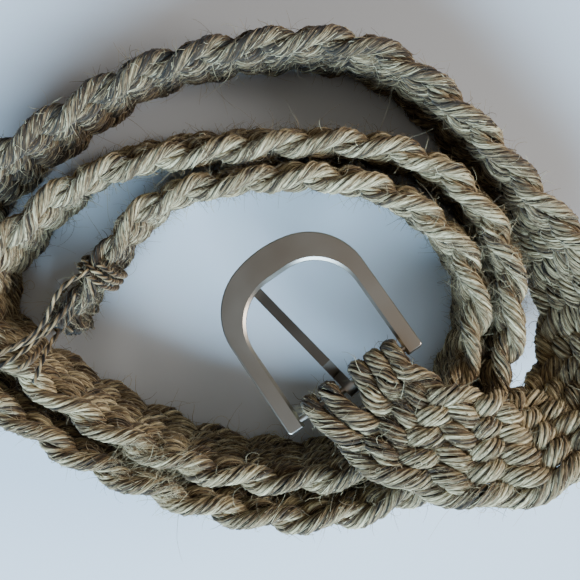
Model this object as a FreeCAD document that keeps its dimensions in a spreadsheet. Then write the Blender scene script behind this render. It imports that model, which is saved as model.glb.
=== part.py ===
"""A plaited jute rope belt with a steel heel-bar buckle, coiled on its edge on a flat surface.

Millimetres, +Z up, the surface at Z = 0 and the origin under the middle of the coil. Five ropes
are folded in half round the buckle's heel bar, and their ten halves are plaited into one flat
strap. It leaves the buckle lying flat, twists on to its edge and runs round the coil.
"""

import FreeCAD, Part
import math
import os

import Sketcher

Vector = FreeCAD.Vector

os.makedirs("parts", exist_ok=True)
doc = FreeCAD.newDocument("rope_belt")


# ---------------------------------------------------------------- driving dimensions

DIMENSIONS = [
    # rope strap
    ("rope_diameter", 2.6),
    ("plait_pitch", 195.0),
    ("plait_reach", 17.3),
    ("plait_depth", 4.6),
    ("tip_reach", 14.0),
    ("tip_taper_start", 75.0),
    ("tip_taper_end", 30.0),
    ("strap_half_width", 18.5),
    # buckle frame
    ("bar_diameter", 2.4),
    ("inner_half_width", 20.0),
    ("outer_half_width", 25.8),
    ("frame_thickness", 3.2),
    ("heel_length", 2.6),
    ("heel_corner_round", 1.3),
    ("inner_top", 43.0),
    ("inner_corner_radius", 16.3),
    ("outer_top", 53.4),
    ("outer_side_radius", 21.5),
    ("outer_side_centre", 31.3),
    ("inner_bevel", 0.9),
    ("outer_edge_round", 0.5),
    # prong
    ("prong_width", 3.4),
    ("prong_thickness", 1.3),
    ("prong_reach", 46.0),
    ("prong_tip_height", -2.0),
    ("prong_crest", 10.2),
    ("prong_crest_height", 1.0),
    ("prong_tip_round", 0.9),
    ("prong_eye_radius", 1.8),
    ("prong_front", 4.6),
    ("prong_lap_angle", 67.0),
    ("prong_lap_length", 4.3),
    # where the buckle lies
    ("bar_x", 24.9),
    ("bar_y", -33.6),
    ("bar_z", 37.3),
    ("bow_heading", 124.6),
    ("buckle_droop", 10.0),
    ("prong_offset", -1.4),
    ("prong_skew", 9.6),
    # free end
    ("binding_diameter", 1.8),
    ("binding_half_wide", 15.9),
    ("binding_half_deep", 6.8),
    ("binding_rise", 2.6),
    ("binding_back_from_tip", 28.0),
    ("tail_diameter", 2.2),
]

sheet = doc.addObject("Spreadsheet::Sheet", "Dimensions")
for row, (name, value) in enumerate(DIMENSIONS, start=1):
    sheet.set("A%d" % row, name)
    sheet.set("B%d" % row, str(value))
    sheet.setAlias("B%d" % row, name)
doc.recompute()


def dim(name):
    """A driving dimension read back from the sheet."""
    return float(getattr(sheet, name))


# ---------------------------------------------------------------- the strap's route

# Middle of the strap from the heel bar to the free end: x, y, z and the lean in degrees. A lean
# of 0 stands the strap on its edge, 90 lays it flat, and a plus sign tips its top edge outwards.
ROUTE = [
    # flat end, over the standing turns
    (24.9, -33.6, 37.6, 90), (31, -40.5, 41, 82), (42, -48, 43.9, 85), (56, -53, 44.3, 88),
    (69, -54.5, 44.9, 78), (80, -53, 43, 67),
    # twist down on to the surface at the right
    (90.5, -48, 37.5, 57), (99, -39.5, 30.8, 49), (103, -26.5, 24.5, 43), (103, -12.5, 20.8, 37),
    (100, 0.5, 19.4, 30), (93, 11, 18.8, 22),
    # outer turn
    (80.5, 27.2, 18.5, 14), (65.5, 47, 18.5, 9), (52, 61.5, 18.5, 7), (36, 73.2, 18.5, 5),
    (21, 77.2, 18.5, 3), (5, 77.5, 18.5, 2), (-11, 75.9, 18.5, 1), (-28.5, 72.8, 18.5, 0),
    (-46.3, 67.5, 18.5, 0), (-63, 56, 18.5, 5), (-78.5, 45.5, 18.5, 8), (-92, 35.5, 18.5, 10),
    (-104, 22, 18.5, 12), (-110, 5.5, 18.5, 12), (-110.5, -10.5, 18.5, 12), (-104.5, -24.5, 18.5, 12),
    (-92.5, -36, 18.5, 13), (-77.5, -45, 18.5, 14), (-63.5, -54.5, 18.5, 14),
    (-47.8, -61.3, 18.5, 14), (-32, -67.7, 18.5, 14), (-15, -72.5, 18.5, 14),
    (2, -75, 18.5, 13), (17.5, -75.2, 18.5, 12), (32.5, -72, 18.5, 11),
    # second turn, passing under the flat end
    (45, -67, 18.5, 10), (54.5, -61, 18.5, 9), (62, -52, 18.5, 8), (68, -41, 18.5, 6),
    (73.8, -28.5, 18.5, 4), (77.4, -13.5, 18.5, 2), (77.6, 0, 18.5, 1), (74.7, 11, 18.5, 1),
    (67.6, 23.8, 18.5, 0), (56.7, 35.3, 18.5, 0), (42, 42.2, 18.5, 0), (23, 45.7, 18.5, -4),
    (5, 46.4, 18.5, -8), (-11.5, 45.1, 18.5, -11), (-27.5, 43.9, 18.5, -13),
    (-44, 41.5, 18.5, -12), (-60, 36, 18.5, -8), (-72, 27.5, 18.5, -2), (-83, 17, 18.5, 2),
    (-92, 6, 18.5, 4), (-96.5, -5.5, 18.5, 5), (-93.5, -16, 18.5, 7), (-84.5, -25.5, 18.5, 9),
    (-74.5, -32.5, 18.5, 12), (-64, -39.5, 18.5, 13), (-50.6, -47.5, 18.5, 14),
    (-36.6, -54, 18.5, 14), (-21.5, -59.3, 18.5, 14), (-7, -62, 18.5, 13),
    (8, -63, 18.5, 12), (22, -61.9, 18.5, 10), (33.5, -58.3, 18.5, 9),
    # innermost turn, ending in the free tip
    (43, -53, 18.5, 7), (51, -45.7, 18.5, 5), (58, -36.2, 18.5, 3), (63.6, -24.2, 18.5, 1),
    (66.6, -11.5, 18.5, 0), (65.8, 0.5, 18.5, -1), (61.3, 10.8, 18.5, -2), (52.5, 20.5, 18.5, -4),
    (39.5, 29.3, 18.5, -6), (23.5, 34.7, 18.5, -8), (5, 35.7, 18.5, -8), (-11.5, 33.7, 18.5, -8),
    (-27.2, 31.1, 18.5, -6), (-39.5, 26.3, 18.5, -2), (-47.5, 18.5, 18.5, 2),
    (-53.5, 10, 18, 2), (-59.7, 1, 17.5, 0), (-66, -9, 16.9, 0), (-72.5, -17.5, 15.6, 0),
]


def smooth_line(points):
    """A clamped, evenly knotted curve of degree 2 that has the points as its poles."""
    spans = len(points) - 2
    curve = Part.BSplineCurve()
    curve.buildFromPolesMultsKnots(
        points, [3] + [1] * (spans - 1) + [3], [float(i) for i in range(spans + 1)], False, 2
    )
    return curve


def edge_points():
    """The strap's top edge beside each point of the route."""
    middles = [Vector(x, y, z) for x, y, z, lean in ROUTE]
    edges = []
    for i, middle in enumerate(middles):
        along = middles[min(i + 1, len(middles) - 1)] - middles[max(i - 1, 0)]
        outward = Vector(along.y, -along.x, 0).normalize()
        lean = math.radians(ROUTE[i][3])
        across = outward * math.sin(lean) + Vector(0, 0, 1) * math.cos(lean)
        edges.append(middle + across * dim("strap_half_width"))
    return middles, edges


class Strap:
    """The strap's middle line, measured along its length, with its cross directions."""

    STEPS_PER_SPAN = 24

    def __init__(self):
        middles, edges = edge_points()
        middle_line = smooth_line(middles)
        edge_line = smooth_line(edges)
        count = (len(middles) - 2) * self.STEPS_PER_SPAN
        places = [i / self.STEPS_PER_SPAN for i in range(count + 1)]
        self.middles = [middle_line.value(u) for u in places]
        self.edges = [edge_line.value(u) for u in places]
        self.lengths = [0.0]
        for a, b in zip(self.middles, self.middles[1:]):
            self.lengths.append(self.lengths[-1] + (b - a).Length)
        self.length = self.lengths[-1]

    def at(self, distance):
        """Middle, across (towards the top edge) and through (the strap's face) at a distance."""
        i = 1
        while i < len(self.lengths) - 1 and self.lengths[i] < distance:
            i += 1
        share = (distance - self.lengths[i - 1]) / (self.lengths[i] - self.lengths[i - 1])
        middle = self.middles[i - 1] + (self.middles[i] - self.middles[i - 1]) * share
        edge = self.edges[i - 1] + (self.edges[i] - self.edges[i - 1]) * share
        along = (self.middles[i] - self.middles[i - 1]).normalize()
        across = edge - middle
        across = (across - along * across.dot(along)).normalize()
        through = across.cross(along)
        return middle, across, through


strap = Strap()


# ---------------------------------------------------------------- round tubes along a line


def rounded_wire(points):
    """Straight runs joined by tangent arcs, each as large as its two runs allow."""
    edges = []
    radii = []
    start = points[0]
    for i in range(1, len(points) - 1):
        back = points[i - 1] - points[i]
        ahead = points[i + 1] - points[i]
        reach = 0.45 * min(back.Length, ahead.Length)
        back.normalize()
        ahead.normalize()
        half_turn = (math.pi - back.getAngle(ahead)) / 2
        radius = reach / math.tan(half_turn)
        begin = points[i] + back * reach
        end = points[i] + ahead * reach
        bisector = (back + ahead).normalize()
        centre = points[i] + bisector * (radius / math.cos(half_turn))
        crown = centre - bisector * radius
        edges.append(Part.LineSegment(start, begin).toShape())
        edges.append(Part.Arc(begin, crown, end).toShape())
        radii.append(radius)
        start = end
    edges.append(Part.LineSegment(start, points[-1]).toShape())
    return Part.Wire(edges), radii


def add_tube(name, points, diameter_alias):
    """A closed round tube along the points, swept from a circle whose size is bound."""
    wire, radii = rounded_wire(points)
    path = doc.addObject("Part::Feature", name + "_path")
    path.Shape = wire
    section = doc.addObject("Part::Circle", name + "_section")
    section.setExpression("Radius", "Dimensions.%s / 2" % diameter_alias)
    turn = FreeCAD.Rotation(Vector(0, 0, 1), points[1] - points[0])
    section.Placement = FreeCAD.Placement(points[0], turn)
    tube = doc.addObject("Part::Sweep", name)
    tube.Label = name
    tube.Sections = [section]
    tube.Spine = (path, [])
    tube.Solid = True
    tube.Frenet = False
    doc.recompute()
    expected = math.pi * (dim(diameter_alias) / 2) ** 2 * wire.Length
    print(
        "%s: length %.0f mm, smallest radius %.1f mm, volume %.3f of section times length"
        % (name, wire.Length, min(radii), tube.Shape.Volume / expected)
    )
    return tube


# ---------------------------------------------------------------- the ropes and their plait

ROPE_COUNT = 5
STRAND_COUNT = 2 * ROPE_COUNT
STATIONS_PER_PITCH = 2 * STRAND_COUNT

# Where each rope lies across the heel bar, + towards the strap's top edge. The prong's eye sits
# between the third and fourth of them.
BAR_PLACES = [-16.4, -10.4, -4.2, 7.4, 14.6]

# The upper half of a fold, seen from the bar's end: distance towards the strap, and height. The
# lower half is its mirror image.
FOLD = [(-3.6, 3.2), (2.6, 3.9)]

# Strands lie less deep beside the strap's edges, where they turn.
EDGE_DEPTH = 0.8


def weave_side(phase):
    """From -1 at the bottom edge to 1 at the top edge and back, over one pitch."""
    if phase <= STRAND_COUNT:
        return -1 + 2 * phase / STRAND_COUNT
    return 3 - 2 * phase / STRAND_COUNT


def weave_depth(phase):
    """Over (+) and under (-) in turn, 0 at the strap's two edges."""
    if phase % STRAND_COUNT == 0:
        return 0
    if phase % STRAND_COUNT in (1, STRAND_COUNT - 1):
        depth = EDGE_DEPTH
    else:
        depth = 1
    going_up = phase < STRAND_COUNT
    return -depth if (phase % 2 == 1) == going_up else depth


def reach_at(distance):
    """How far the plait reaches to each side: it narrows towards the free end."""
    left = strap.length - distance
    share = (left - dim("tip_taper_end")) / (dim("tip_taper_start") - dim("tip_taper_end"))
    share = max(0.0, min(1.0, share))
    return dim("tip_reach") + (dim("plait_reach") - dim("tip_reach")) * share


def plait_points(first_phase):
    """One strand's points along the whole strap, from its phase at the first station."""
    step = dim("plait_pitch") / STATIONS_PER_PITCH
    points = []
    station = 1
    while station * step < strap.length:
        phase = (first_phase + station - 1) % STATIONS_PER_PITCH
        middle, across, through = strap.at(station * step)
        side = weave_side(phase) * reach_at(station * step)
        points.append(
            middle + across * side + through * weave_depth(phase) * dim("plait_depth")
        )
        station += 1
    return points


def fold_points(place):
    """A rope's fold round the bar, from its under side to its upper side."""
    bar = Vector(dim("bar_x"), dim("bar_y"), dim("bar_z"))
    heading = math.radians(dim("bow_heading"))
    toward_strap = Vector(-math.cos(heading), -math.sin(heading), 0)
    toward_top_edge = Vector(toward_strap.y, -toward_strap.x, 0)
    beside = bar + toward_top_edge * place
    upper = [beside + toward_strap * f + Vector(0, 0, h) for f, h in FOLD]
    lower = [beside + toward_strap * f - Vector(0, 0, h) for f, h in reversed(FOLD)]
    return lower + upper


def rope_points(number):
    """One rope: in along the strap below, round the heel bar, and out along it above."""
    phase = 2 * number + 1
    under = plait_points(phase)
    over = plait_points(STATIONS_PER_PITCH - phase)
    return list(reversed(under)) + fold_points(BAR_PLACES[number]) + over


ropes = []
for number in range(ROPE_COUNT):
    ropes.append(add_tube("rope_%d" % (number + 1), rope_points(number), "rope_diameter"))


# ---------------------------------------------------------------- the buckle

buckle_place = FreeCAD.Placement(
    Vector(dim("bar_x"), dim("bar_y"), dim("bar_z")),
    FreeCAD.Rotation(Vector(0, 0, 1), dim("bow_heading") - 90)
    * FreeCAD.Rotation(Vector(1, 0, 0), -dim("buckle_droop")),
)


def origin_plane(body, role):
    """One of a body's own origin planes."""
    for feature in body.Origin.OriginFeatures:
        if feature.Role == role:
            return feature
    raise ValueError("no origin plane " + role)


def new_sketch(body, name, role):
    """A sketch on one of the body's own origin planes."""
    sketch = body.newObject("Sketcher::SketchObject", name)
    sketch.AttachmentSupport = [(origin_plane(body, role), "")]
    sketch.MapMode = "FlatFace"
    return sketch


def tie_ends(sketch, order):
    """Join each piece of a closed outline to the next, end to start."""
    for i, (piece, end) in enumerate(order):
        after, far_end = order[(i + 1) % len(order)]
        start = 3 - far_end
        sketch.addConstraint(Sketcher.Constraint("Coincident", piece, end, after, start))


def line(x1, y1, x2, y2):
    return Part.LineSegment(Vector(x1, y1, 0), Vector(x2, y2, 0))


def arc_through(centre, radius, angle_1, angle_2):
    """A circular arc, counterclockwise between two angles in radians."""
    circle = Part.Circle(Vector(centre[0], centre[1], 0), Vector(0, 0, 1), radius)
    return Part.ArcOfCircle(circle, angle_1, angle_2)


def make_frame():
    """The horseshoe frame: two legs and a crescent bow, with a bevel round the opening."""
    body = doc.addObject("PartDesign::Body", "buckle_frame")
    body.Label = "buckle_frame"
    sketch = new_sketch(body, "frame_outline", "XY_Plane")
    outer = dim("outer_half_width")
    inner = dim("inner_half_width")
    heel = -dim("heel_length")
    side = dim("outer_side_radius")
    side_x = outer - side
    side_y = dim("outer_side_centre")
    # The bow's top arc touches both side arcs and passes through the highest point.
    drop = dim("outer_top") - side_y
    top_radius = (drop**2 + side_x**2 - side**2) / (2 * (drop - side))
    top_y = dim("outer_top") - top_radius
    touch = math.atan2(side_y - top_y, side_x)
    corner = dim("inner_corner_radius")
    corner_x = inner - corner
    corner_y = dim("inner_top") - corner
    half = math.pi / 2
    sketch.addGeometry(line(outer, heel, outer, side_y))
    sketch.addGeometry(arc_through((side_x, side_y), side, 0, touch))
    sketch.addGeometry(arc_through((0, top_y), top_radius, touch, math.pi - touch))
    sketch.addGeometry(arc_through((-side_x, side_y), side, math.pi - touch, math.pi))
    sketch.addGeometry(line(-outer, side_y, -outer, heel))
    sketch.addGeometry(line(-outer, heel, -inner, heel))
    sketch.addGeometry(line(-inner, heel, -inner, corner_y))
    sketch.addGeometry(arc_through((-corner_x, corner_y), corner, half, math.pi))
    sketch.addGeometry(line(-corner_x, dim("inner_top"), corner_x, dim("inner_top")))
    sketch.addGeometry(arc_through((corner_x, corner_y), corner, 0, half))
    sketch.addGeometry(line(inner, corner_y, inner, heel))
    sketch.addGeometry(line(inner, heel, outer, heel))
    order = [(0, 2), (1, 2), (2, 2), (3, 2), (4, 2), (5, 2)]
    order += [(6, 2), (7, 1), (8, 2), (9, 1), (10, 2), (11, 2)]
    tie_ends(sketch, order)
    doc.recompute()
    pad = body.newObject("PartDesign::Pad", "frame_plate")
    pad.Profile = sketch
    pad.setExpression("Length", "Dimensions.frame_thickness")
    pad.Midplane = True
    doc.recompute()
    corners = body.newObject("PartDesign::Fillet", "heel_corners")
    corners.Base = (pad, heel_corner_edges(pad.Shape))
    corners.setExpression("Radius", "Dimensions.heel_corner_round")
    doc.recompute()
    bevel = body.newObject("PartDesign::Chamfer", "opening_bevel")
    bevel.Base = (corners, opening_edges(corners.Shape))
    bevel.setExpression("Size", "Dimensions.inner_bevel")
    doc.recompute()
    rounding = body.newObject("PartDesign::Fillet", "outer_rounding")
    rounding.Base = (bevel, outer_edges(bevel.Shape))
    rounding.setExpression("Radius", "Dimensions.outer_edge_round")
    doc.recompute()
    bore_sketch = new_sketch(body, "bar_bore_outline", "YZ_Plane")
    bore_sketch.addGeometry(Part.Circle(Vector(0, 0, 0), Vector(0, 0, 1), 1))
    bore_sketch.addConstraint(Sketcher.Constraint("Coincident", 0, 3, -1, 1))
    bore_sketch.addConstraint(Sketcher.Constraint("Diameter", 0, dim("bar_diameter")))
    bore_sketch.setExpression("Constraints[1]", "Dimensions.bar_diameter")
    bores = body.newObject("PartDesign::Pocket", "bar_bores")
    bores.Profile = bore_sketch
    bores.Midplane = True
    bores.setExpression("Length", "2 * Dimensions.outer_half_width + 2")
    body.Tip = bores
    doc.recompute()
    leg = dim("outer_half_width") - dim("inner_half_width")
    removed = rounding.Shape.Volume - bores.Shape.Volume
    print("bar bores remove %.1f mm3, about %.1f expected" % (removed, 2 * leg * bore_area()))
    body.Placement = buckle_place
    return body


def bore_area():
    return math.pi * (dim("bar_diameter") / 2) ** 2


def edges_where(shape, chosen):
    """Names of the edges whose middle point passes a test."""
    names = []
    for i, edge in enumerate(shape.Edges, start=1):
        middle = edge.valueAt((edge.FirstParameter + edge.LastParameter) / 2)
        if chosen(edge, middle):
            names.append("Edge%d" % i)
    return names


def on_face(middle):
    """True on the frame's front or back face."""
    return abs(abs(middle.z) - dim("frame_thickness") / 2) < 1e-4


def inside_outline(middle):
    """True for points that lie on the opening's own outline."""
    if middle.y < dim("inner_top") - dim("inner_corner_radius"):
        return abs(abs(middle.x) - dim("inner_half_width")) < 1e-3
    return middle.y < dim("inner_top") + 1e-3 and abs(middle.x) < dim("inner_half_width")


def heel_corner_edges(shape):
    """The legs' two outer upright corners at the heel."""
    corner = (dim("outer_half_width"), -dim("heel_length"))
    return edges_where(
        shape,
        lambda edge, middle: math.hypot(abs(middle.x) - corner[0], middle.y - corner[1]) < 1e-3,
    )


def opening_edges(shape):
    return edges_where(
        shape,
        lambda edge, middle: on_face(middle)
        and inside_outline(middle)
        and middle.y > 0
        and edge.Length > 1,
    )


def outer_edges(shape):
    bevelled = dim("inner_half_width") + dim("inner_bevel")
    heel = -dim("heel_length")

    def chosen(edge, middle):
        if not on_face(middle) or edge.Length < 1:
            return False
        at_heel = abs(middle.y - heel) < 1e-3
        beyond = abs(middle.x) > dim("outer_half_width") - 1e-3 and middle.y > heel
        on_bow = middle.y > dim("outer_side_centre") and math.hypot(
            middle.x, middle.y - dim("inner_top") + dim("inner_corner_radius")
        ) > bevelled + 2
        return at_heel or beyond or on_bow

    return edges_where(shape, chosen)


def make_bar():
    """The heel bar, a plain pin through both legs."""
    bar = doc.addObject("Part::Cylinder", "heel_bar")
    bar.Label = "heel_bar"
    bar.setExpression("Radius", "Dimensions.bar_diameter / 2")
    bar.setExpression("Height", "2 * Dimensions.outer_half_width")
    sideways = FreeCAD.Placement(
        Vector(-dim("outer_half_width"), 0, 0), FreeCAD.Rotation(Vector(0, 1, 0), 90)
    )
    bar.Placement = buckle_place * sideways
    return bar


def make_prong():
    """A flat strip: under the bow at its tip, up to a crest, then curled round the bar."""
    body = doc.addObject("PartDesign::Body", "prong")
    body.Label = "prong"
    sketch = new_sketch(body, "prong_profile", "YZ_Plane")
    thick = dim("prong_thickness")
    small = dim("prong_eye_radius")
    large = small + thick
    reach = dim("prong_reach")
    tip = dim("prong_tip_height")
    crest = dim("prong_crest")
    crest_top = dim("prong_crest_height")
    front = dim("prong_front")
    lap_angle = math.radians(dim("prong_lap_angle"))
    lap_length = dim("prong_lap_length")
    lap_y = math.sin(lap_angle) * lap_length
    lap_z = -math.cos(lap_angle) * lap_length
    outer_end = (math.cos(lap_angle) * large, math.sin(lap_angle) * large)
    inner_end = (math.cos(lap_angle) * small, math.sin(lap_angle) * small)
    half = math.pi / 2
    # The strip leaves the eye level, climbs to its crest and falls straight to the tip.
    corners = [
        (0, -large),
        (front, -large),
        (crest, crest_top - thick),
        (reach, tip - thick),
        (reach, tip),
        (crest, crest_top),
        (front, -small),
        (0, -small),
    ]
    for (y1, z1), (y2, z2) in zip(corners, corners[1:]):
        sketch.addGeometry(line(y1, z1, y2, z2))
    sketch.addGeometry(arc_through((0, 0), small, lap_angle, 3 * half))
    sketch.addGeometry(
        line(inner_end[0], inner_end[1], inner_end[0] + lap_y, inner_end[1] + lap_z)
    )
    sketch.addGeometry(
        line(
            inner_end[0] + lap_y,
            inner_end[1] + lap_z,
            outer_end[0] + lap_y,
            outer_end[1] + lap_z,
        )
    )
    sketch.addGeometry(
        line(outer_end[0] + lap_y, outer_end[1] + lap_z, outer_end[0], outer_end[1])
    )
    sketch.addGeometry(arc_through((0, 0), large, lap_angle, 3 * half))
    order = [(i, 2) for i in range(7)] + [(7, 1), (8, 2), (9, 2), (10, 2), (11, 2)]
    tie_ends(sketch, order)
    doc.recompute()
    pad = body.newObject("PartDesign::Pad", "prong_strip")
    pad.Profile = sketch
    pad.setExpression("Length", "Dimensions.prong_width")
    pad.Midplane = True
    doc.recompute()
    rounding = body.newObject("PartDesign::Fillet", "tip_corners")
    tip_names = edges_where(
        pad.Shape,
        lambda edge, middle: middle.y > reach - 1e-3 and abs(middle.x) > 1e-3,
    )
    rounding.Base = (pad, tip_names)
    rounding.setExpression("Radius", "Dimensions.prong_tip_round")
    body.Tip = rounding
    doc.recompute()
    askew = FreeCAD.Placement(
        Vector(dim("prong_offset"), 0, 0),
        FreeCAD.Rotation(Vector(0, 0, 1), dim("prong_skew")),
    )
    body.Placement = buckle_place * askew
    return body


# ---------------------------------------------------------------- the free end

BINDING_TURNS = 2.5
BINDING_POINTS_PER_TURN = 12
# Below 1 this squares the shoulders of the winding's oval, to follow the flat strap closely.
BINDING_SHOULDER_POWER = 0.7


def squared(value):
    """A sine or cosine, pushed outwards to square an oval's shoulders."""
    return math.copysign(abs(value) ** BINDING_SHOULDER_POWER, value)


def binding_points():
    """A thin twine wound round the narrowed strap."""
    points = []
    count = int(BINDING_TURNS * BINDING_POINTS_PER_TURN)
    for i in range(count + 1):
        turn = 2 * math.pi * i / BINDING_POINTS_PER_TURN
        advance = dim("binding_rise") * i / BINDING_POINTS_PER_TURN
        middle, across, through = strap.at(
            strap.length - dim("binding_back_from_tip") + advance
        )
        wide = squared(math.cos(turn)) * dim("binding_half_wide")
        deep = squared(math.sin(turn)) * dim("binding_half_deep")
        points.append(middle + across * wide + through * deep)
    return points


# Loose yarns at the free end, from the tip out to their frayed ends.
TAILS = {
    "tail_yarn_long": [
        (-71.5, -3, 16), (-75.5, -5.5, 11), (-78.5, -9.5, 5), (-79, -14, 1.9), (-76.5, -18, 1.2),
    ],
    "tail_yarn_short": [
        (-75.5, -21, 30), (-75.5, -22.5, 37), (-77, -26, 40.5), (-81, -28.5, 40.6),
    ],
}

frame = make_frame()
bar = make_bar()
prong = make_prong()
binding = add_tube("tip_binding", binding_points(), "binding_diameter")
tails = []
for tail_name, tail_route in TAILS.items():
    tails.append(add_tube(tail_name, [Vector(*p) for p in tail_route], "tail_diameter"))


# ---------------------------------------------------------------- checks and export

doc.recompute()
for item in doc.Objects:
    if "Invalid" in item.State or "Error" in item.State:
        raise RuntimeError("%s did not compute: %s" % (item.Name, item.State))

SUB_PARTS = ropes + [frame, bar, prong, binding] + tails
for item in SUB_PARTS:
    shape = item.Shape
    if shape.isNull() or not shape.isValid():
        raise RuntimeError("%s has no valid shape" % item.Label)
    if len(shape.Solids) != 1 or shape.Volume <= 0:
        raise RuntimeError("%s is not one closed solid" % item.Label)
    shape.exportStep("parts/%s.step" % item.Label)
    box = shape.BoundBox
    print(
        "%-16s %8.0f mm3  x %.1f..%.1f  y %.1f..%.1f  z %.1f..%.1f"
        % (item.Label, shape.Volume, box.XMin, box.XMax, box.YMin, box.YMax, box.ZMin, box.ZMax)
    )
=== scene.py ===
"""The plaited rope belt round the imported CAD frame. Metres, +Z up, the table at Z = 0.

Each of the five ropes is folded in half round the heel bar, and its yarns follow one NURBS spline
through both halves. The fibres on and off the ropes, the twine at the free end and the yarns that
have come loose there are pieces of their own. The buckle, its bar and the prong keep their CAD
surfaces and only get a metal.
"""
import math

import bpy
import numpy as np
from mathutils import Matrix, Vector


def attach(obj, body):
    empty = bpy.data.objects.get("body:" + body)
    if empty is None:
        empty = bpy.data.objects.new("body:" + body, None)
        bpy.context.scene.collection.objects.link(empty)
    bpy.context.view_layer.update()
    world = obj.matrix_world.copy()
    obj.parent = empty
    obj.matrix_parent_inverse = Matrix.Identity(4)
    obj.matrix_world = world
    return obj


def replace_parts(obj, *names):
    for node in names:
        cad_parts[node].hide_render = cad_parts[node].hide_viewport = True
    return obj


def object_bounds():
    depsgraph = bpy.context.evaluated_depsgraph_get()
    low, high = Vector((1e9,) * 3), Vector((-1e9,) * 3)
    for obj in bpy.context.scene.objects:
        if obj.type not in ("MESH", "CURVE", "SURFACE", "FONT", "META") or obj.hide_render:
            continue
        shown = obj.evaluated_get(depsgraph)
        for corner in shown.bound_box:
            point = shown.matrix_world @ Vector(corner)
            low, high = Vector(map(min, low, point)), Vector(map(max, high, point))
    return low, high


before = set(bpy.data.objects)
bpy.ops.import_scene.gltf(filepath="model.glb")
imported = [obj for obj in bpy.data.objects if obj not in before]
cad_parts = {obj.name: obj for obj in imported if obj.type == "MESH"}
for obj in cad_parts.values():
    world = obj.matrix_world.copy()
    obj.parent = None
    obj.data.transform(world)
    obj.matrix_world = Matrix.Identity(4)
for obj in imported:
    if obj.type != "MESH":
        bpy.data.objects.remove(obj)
cad_low, cad_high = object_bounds()

scene = bpy.context.scene


# ---------------------------------------------------------------- camera

CAMERA_PLACE = (0.005, -0.0035, 0.4003)
CAMERA_LENS_MM = 70.3
SENSOR_MM = 36.0

camera = bpy.data.objects.new("camera", bpy.data.cameras.new("camera"))
camera.location = CAMERA_PLACE
camera.data.lens = CAMERA_LENS_MM
camera.data.sensor_width = SENSOR_MM
camera.data.clip_start = 0.01
camera.data.clip_end = 20
scene.collection.objects.link(camera)
scene.camera = camera


# ---------------------------------------------------------------- the strap's route

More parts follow.
